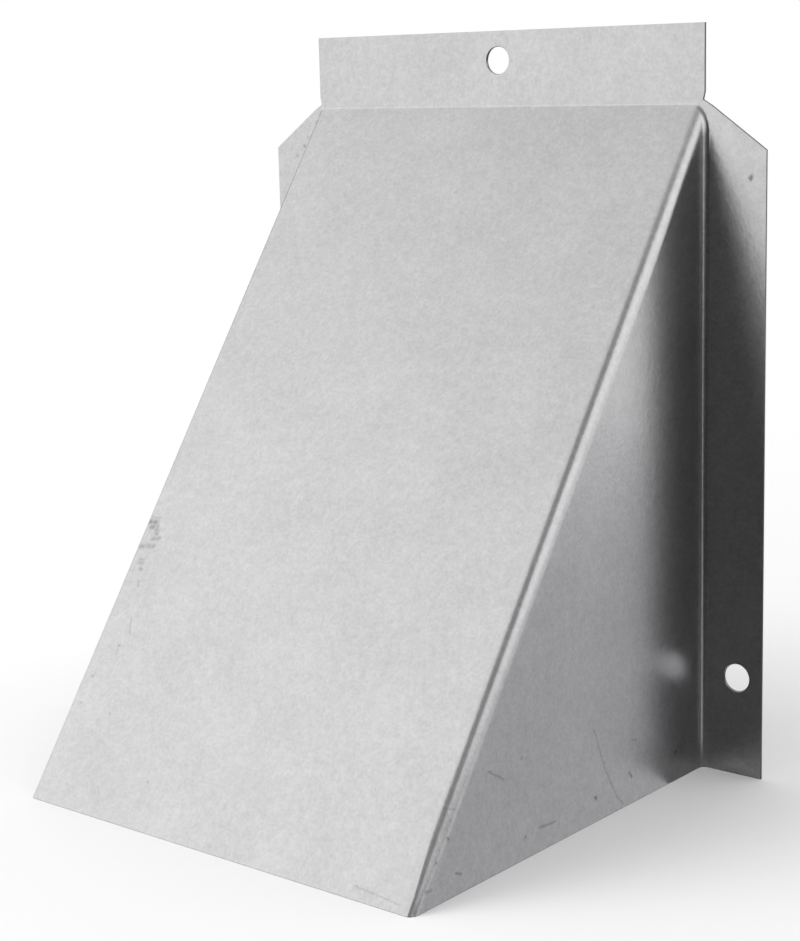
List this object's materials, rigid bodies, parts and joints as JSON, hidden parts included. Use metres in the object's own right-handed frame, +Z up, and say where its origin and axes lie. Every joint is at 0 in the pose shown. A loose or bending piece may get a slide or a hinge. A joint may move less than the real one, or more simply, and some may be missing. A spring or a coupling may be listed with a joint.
{
  "type": "intake vent hood",
  "caption": "Folded galvanised sheet hood for a wall vent: sloped front, triangular sides, open bottom and back, and flat screw flanges at the top and sides.",
  "frame": {"origin": "on the wall face, midway between the two lower screw holes", "axes": "+Z up along the wall, +Y into the wall, +X to the right as seen from in front of the hood"},
  "size_m": [0.1456, 0.1087, 0.1717],
  "materials": {
    "galvanised_sheet": "dull zinc coating with a fine mottled grain, a little scuffed"
  },
  "bodies": {
    "root": {"hood": "galvanised_sheet"}
  },
  "joints": []
}
